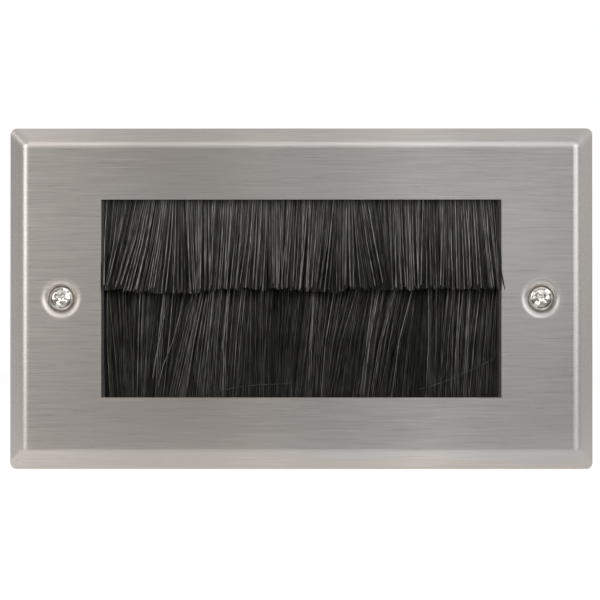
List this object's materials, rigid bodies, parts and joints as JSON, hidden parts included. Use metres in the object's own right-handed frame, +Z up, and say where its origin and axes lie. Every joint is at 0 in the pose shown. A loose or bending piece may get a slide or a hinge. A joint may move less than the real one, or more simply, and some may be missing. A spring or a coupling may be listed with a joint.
{
  "type": "brush wall plate",
  "caption": "Bevelled brushed-steel wall plate with a wide opening closed by facing rows of black bristles that part around cables, held by raised countersunk screws.",
  "frame": {"origin": "midway between the fixing screws, on the wall plane that the plate's rear rim lies on", "axes": "+X to the right as seen from the room, +Y into the wall, +Z up; the front faces -Y"},
  "size_m": [0.1466, 0.0266, 0.0856],
  "materials": {
    "brushed_stainless": "fine horizontal brushed grain",
    "bristle_nylon": "satin black filaments",
    "nickel_plate": "bright nickel plating",
    "galvanised_sheet": "dull galvanised",
    "core_wire": "drawn wire",
    "moulded_black": "fine moulded texture",
    "zinc_plate": "bright zinc plating"
  },
  "bodies": {
    "root": {"faceplate": "brushed_stainless", "upper_bristles": "bristle_nylon", "lower_bristles": "bristle_nylon", "fixing_screw_left": "nickel_plate", "fixing_screw_right": "nickel_plate", "upper_brush_channel": "galvanised_sheet", "lower_brush_channel": "galvanised_sheet", "upper_core_wire": "core_wire", "lower_core_wire": "core_wire", "brush_carrier": "moulded_black", "weld_studs": "zinc_plate", "stud_nuts": "zinc_plate"}
  },
  "joints": []
}
